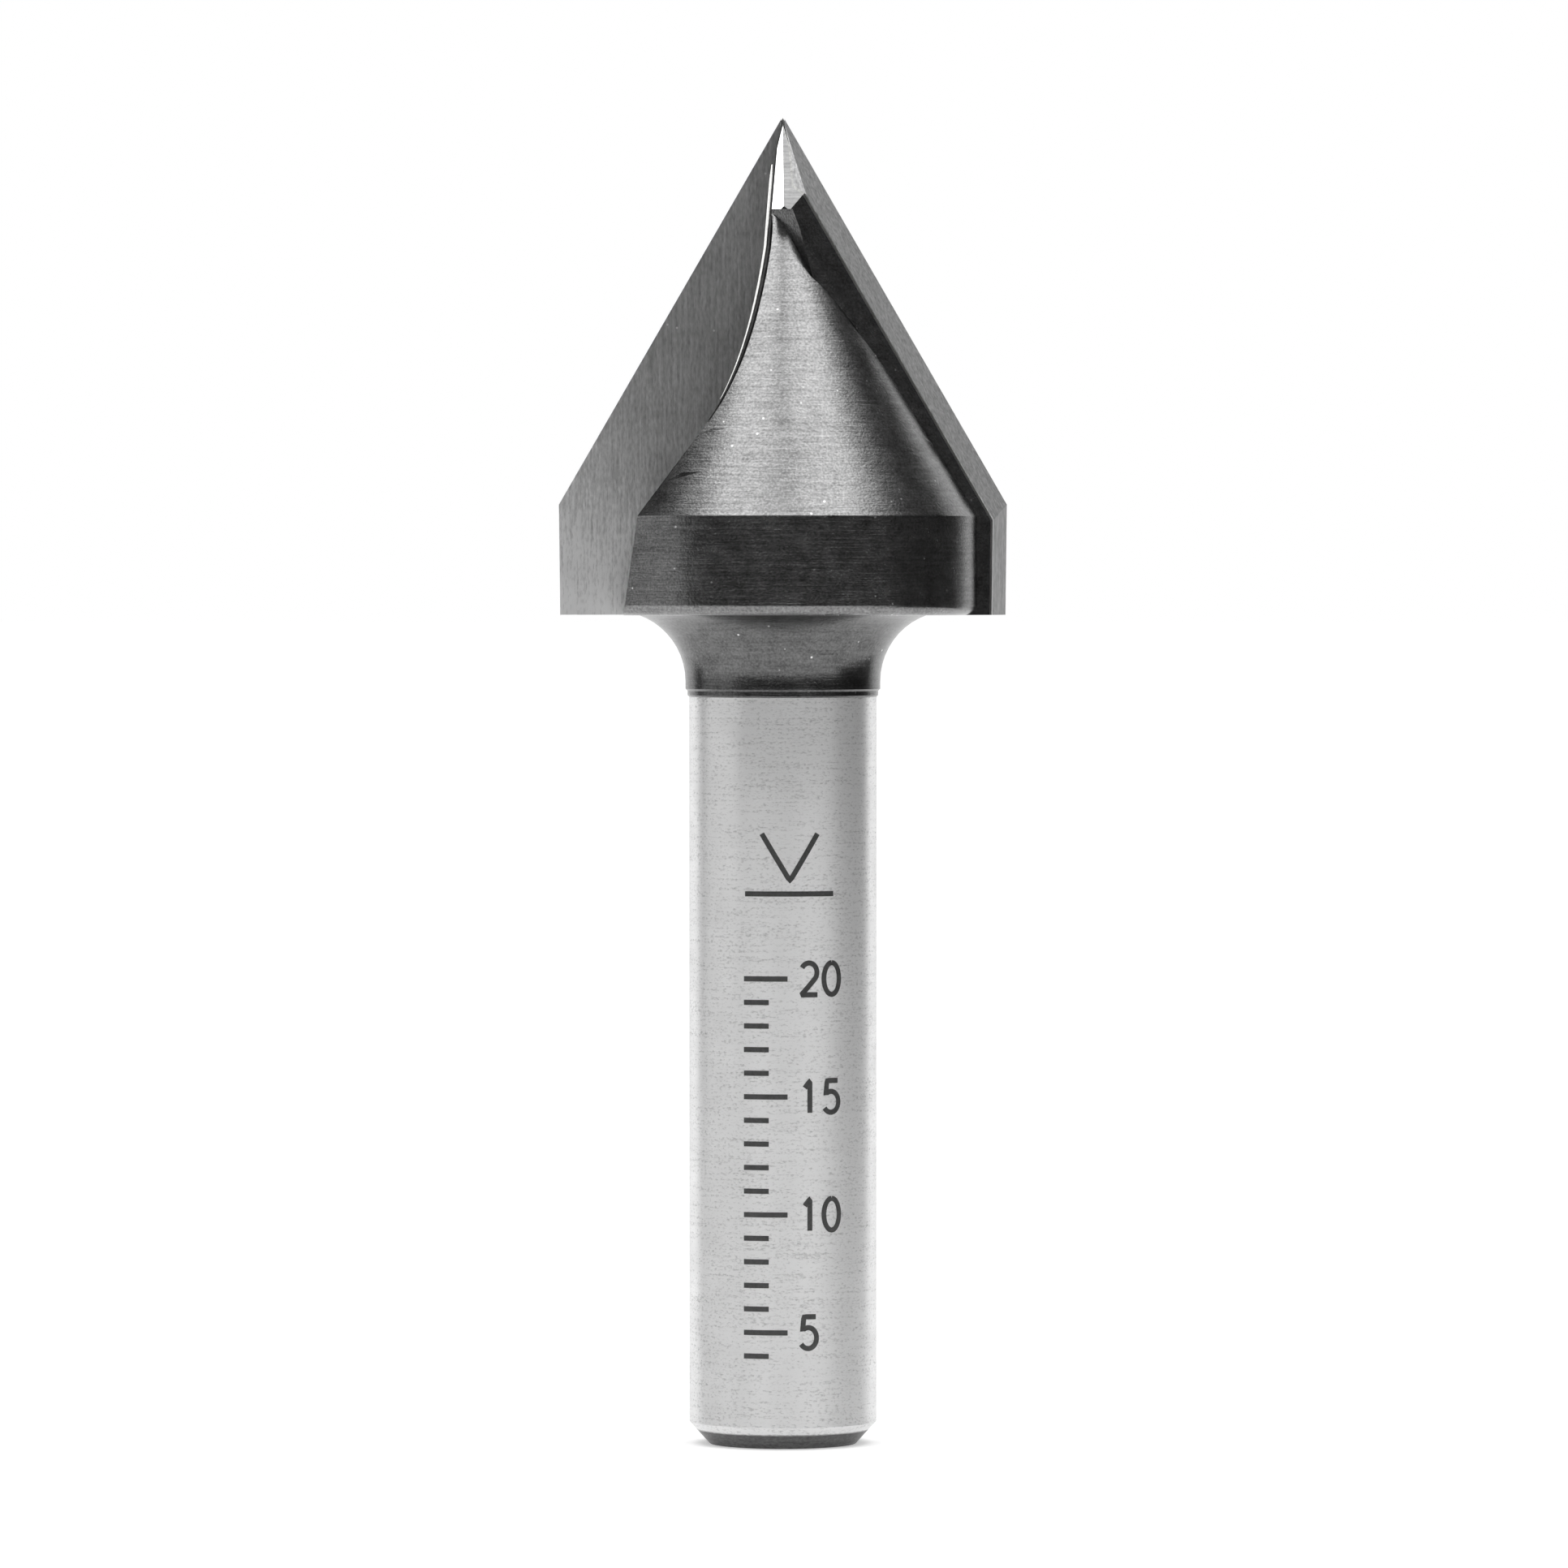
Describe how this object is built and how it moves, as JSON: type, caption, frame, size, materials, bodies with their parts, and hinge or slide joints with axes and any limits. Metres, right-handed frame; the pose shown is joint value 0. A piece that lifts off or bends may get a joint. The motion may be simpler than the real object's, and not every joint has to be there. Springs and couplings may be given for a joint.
{
  "type": "v groove router bit",
  "caption": "Two flute V groove router bit: carbide plates brazed on a turned steel head with a plain round shank.",
  "frame": {"origin": "centre of the flat end face of the shank", "axes": "+Z along the axis from the shank to the cutting point, +X towards the plate whose back faces -Y, -Y towards the viewer of the picture"},
  "size_m": [0.0192, 0.017, 0.0566],
  "materials": {
    "turned_steel": "ground shank, blackened head with satin tool marks",
    "ground_carbide": "fine ground tungsten carbide",
    "silver_solder": "bright silver solder"
  },
  "bodies": {
    "root": {"steel_body": "turned_steel", "front_carbide_plate": "ground_carbide", "rear_carbide_plate": "ground_carbide", "front_solder_seam": "silver_solder", "rear_solder_seam": "silver_solder"}
  },
  "joints": []
}
